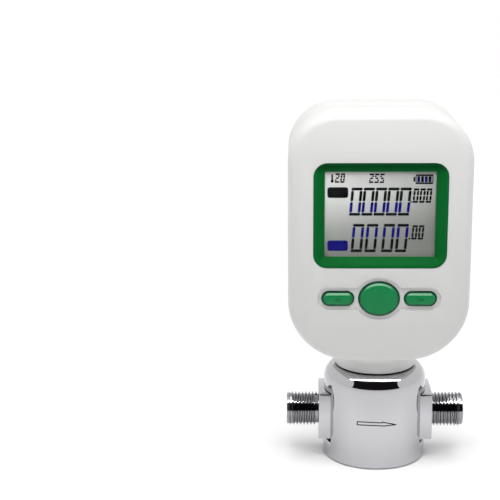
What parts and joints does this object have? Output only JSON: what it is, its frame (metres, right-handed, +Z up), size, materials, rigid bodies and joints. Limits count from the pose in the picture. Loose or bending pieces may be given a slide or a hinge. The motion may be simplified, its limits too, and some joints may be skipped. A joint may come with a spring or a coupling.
{
  "type": "gas flow meter",
  "caption": "Gas flow meter with a display head on a chrome pot and a threaded pipe nipple on each side.",
  "frame": {"origin": "centre of the pot's underside, on the table", "axes": "+X along the gas path to the right-hand nipple, +Y towards the back, +Z up; the display faces -Y"},
  "size_m": [0.0686, 0.0414, 0.137],
  "materials": {
    "chrome": "mirror polished chrome plate",
    "white_case": "satin white moulded plastic",
    "green_plastic": "satin green moulded plastic",
    "clear_window": "clear acrylic",
    "lcd": "grey-beige display glass",
    "milky_plastic": "milky light guide",
    "black_plastic": "moulded black plastic",
    "grey_plastic": "moulded grey plastic",
    "black_rubber": "moulded black rubber",
    "steel": "bright zinc-plated steel",
    "core_metal": "milled aluminium",
    "brass_screen": "perforated brass disc",
    "board_green": "solder resist on glass fibre",
    "chip_black": "moulded chip bodies",
    "ribbon": "flat grey lead",
    "cell_sleeve": "printed cell sleeve"
  },
  "bodies": {
    "meter": {"chrome_housing": "chrome", "inlet_adapter": "chrome", "outlet_adapter": "chrome", "bottom_cover": "black_plastic", "bottom_cover_screws": "steel", "flow_core": "core_metal", "inlet_seal": "black_rubber", "outlet_seal": "black_rubber", "inlet_screen": "brass_screen", "outlet_screen": "brass_screen", "adapter_set_screws": "steel", "sensor_gasket": "black_rubber", "sensor_carrier": "grey_plastic", "sensor_chip": "chip_black", "sensor_board": "board_green", "sensor_ring_nut": "steel", "sensor_ribbon": "ribbon", "ribbon_socket": "milky_plastic", "neck_gasket": "black_rubber", "neck_screws": "steel", "front_shell": "white_case", "rear_shell": "white_case", "case_seal": "black_rubber", "case_screws": "steel", "bezel_frame": "green_plastic", "window_lens": "clear_window", "lcd_glass": "lcd", "lcd_backlight": "milky_plastic", "lcd_holder": "milky_plastic", "lcd_connector": "black_rubber", "tact_switches": "grey_plastic", "main_board": "board_green", "board_components": "chip_black", "main_board_screws": "steel", "battery_cell_1": "cell_sleeve", "battery_cell_2": "cell_sleeve", "battery_cell_3": "cell_sleeve", "battery_cell_4": "cell_sleeve", "battery_links": "steel", "battery_terminals": "steel", "battery_springs": "steel"},
    "up_key": {"up_button": "green_plastic", "up_plunger": "black_plastic"},
    "function_key": {"function_button": "green_plastic", "function_plunger": "black_plastic"},
    "down_key": {"down_button": "green_plastic", "down_plunger": "black_plastic"},
    "door": {"battery_door": "white_case", "battery_door_screws": "steel"}
  },
  "joints": [
    {"name": "up_key_slide", "type": "slide", "parent": "meter", "child": "up_key", "axis": [0, 1, 0], "range_m": [0, 0.0008], "stiffness_N_per_m": 2000},
    {"name": "function_key_slide", "type": "slide", "parent": "meter", "child": "function_key", "axis": [0, 1, 0], "range_m": [0, 0.0008], "stiffness_N_per_m": 2000},
    {"name": "down_key_slide", "type": "slide", "parent": "meter", "child": "down_key", "axis": [0, 1, 0], "range_m": [0, 0.0008], "stiffness_N_per_m": 2000},
    {"name": "battery_door_slide", "type": "slide", "parent": "meter", "child": "door", "axis": [0, 1, 0], "range_m": [0, 0.025]}
  ]
}
